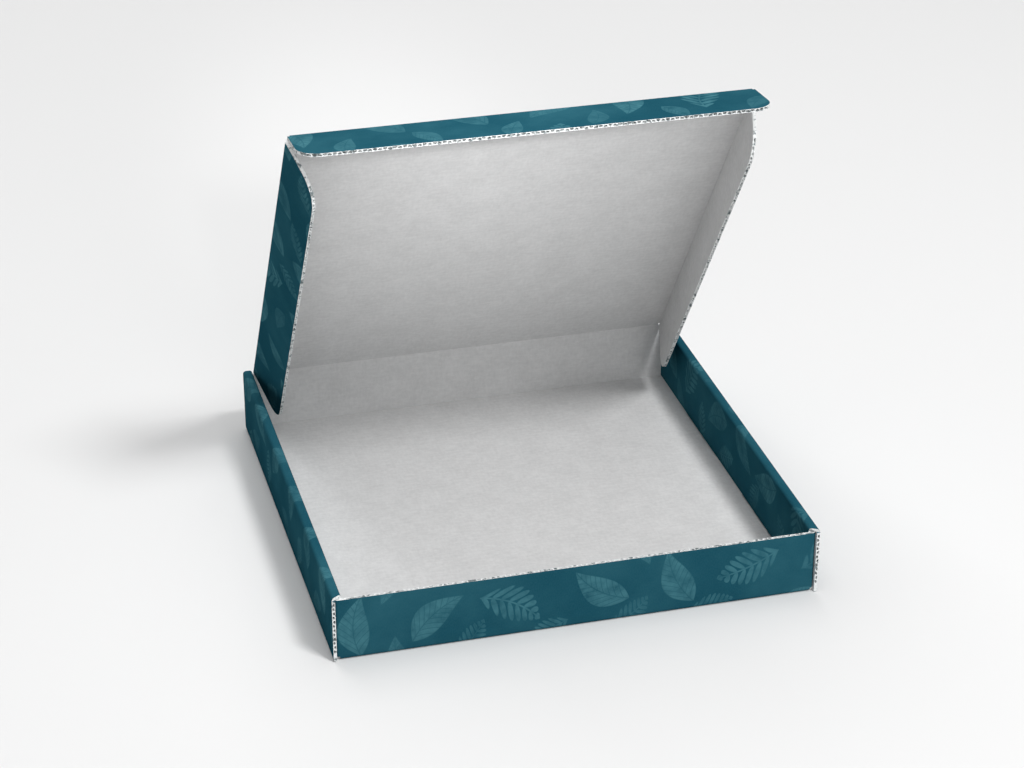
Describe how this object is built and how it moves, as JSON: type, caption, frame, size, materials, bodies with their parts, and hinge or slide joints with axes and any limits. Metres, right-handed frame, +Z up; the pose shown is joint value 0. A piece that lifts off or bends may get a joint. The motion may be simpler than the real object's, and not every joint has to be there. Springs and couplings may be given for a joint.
{
  "type": "corrugated mailer box",
  "caption": "Shallow corrugated mailer box with rolled side walls, shown with its hinged lid, lid side flaps and tuck flap open.",
  "frame": {"origin": "middle of the base's underside, which is the surface the box stands on", "axes": "+X across the width to the right, +Y from the front wall to the back wall with the lid's hinge, +Z up"},
  "size_m": [0.33, 0.323, 0.3111],
  "materials": {
    "printed_board": "matte",
    "plain_liner": "matte"
  },
  "bodies": {
    "tray": {"tray": "printed_board"},
    "lid": {"lid_panel": "printed_board"},
    "left_flap": {"left_side_flap": "printed_board"},
    "right_flap": {"right_side_flap": "printed_board"},
    "tuck": {"tuck_flap": "printed_board"}
  },
  "joints": [
    {"name": "lid_hinge", "type": "hinge", "parent": "tray", "child": "lid", "pos_m": [0, 0.1604, 0.0469], "axis": [-1, 0, 0], "range_deg": [-54, 125]},
    {"name": "left_flap_crease", "type": "hinge", "parent": "lid", "child": "left_flap", "pos_m": [-0.1554, 0.15938, 0.04618], "axis": [0, -0.5736, 0.8192], "range_deg": [-15, 70]},
    {"name": "right_flap_crease", "type": "hinge", "parent": "lid", "child": "right_flap", "pos_m": [0.1554, 0.15938, 0.04618], "axis": [0, 0.5736, -0.8192], "range_deg": [-12, 73]},
    {"name": "tuck_crease", "type": "hinge", "parent": "lid", "child": "tuck", "pos_m": [0, -0.02125, 0.30633], "axis": [1, 0, 0], "range_deg": [-50, 42]}
  ]
}
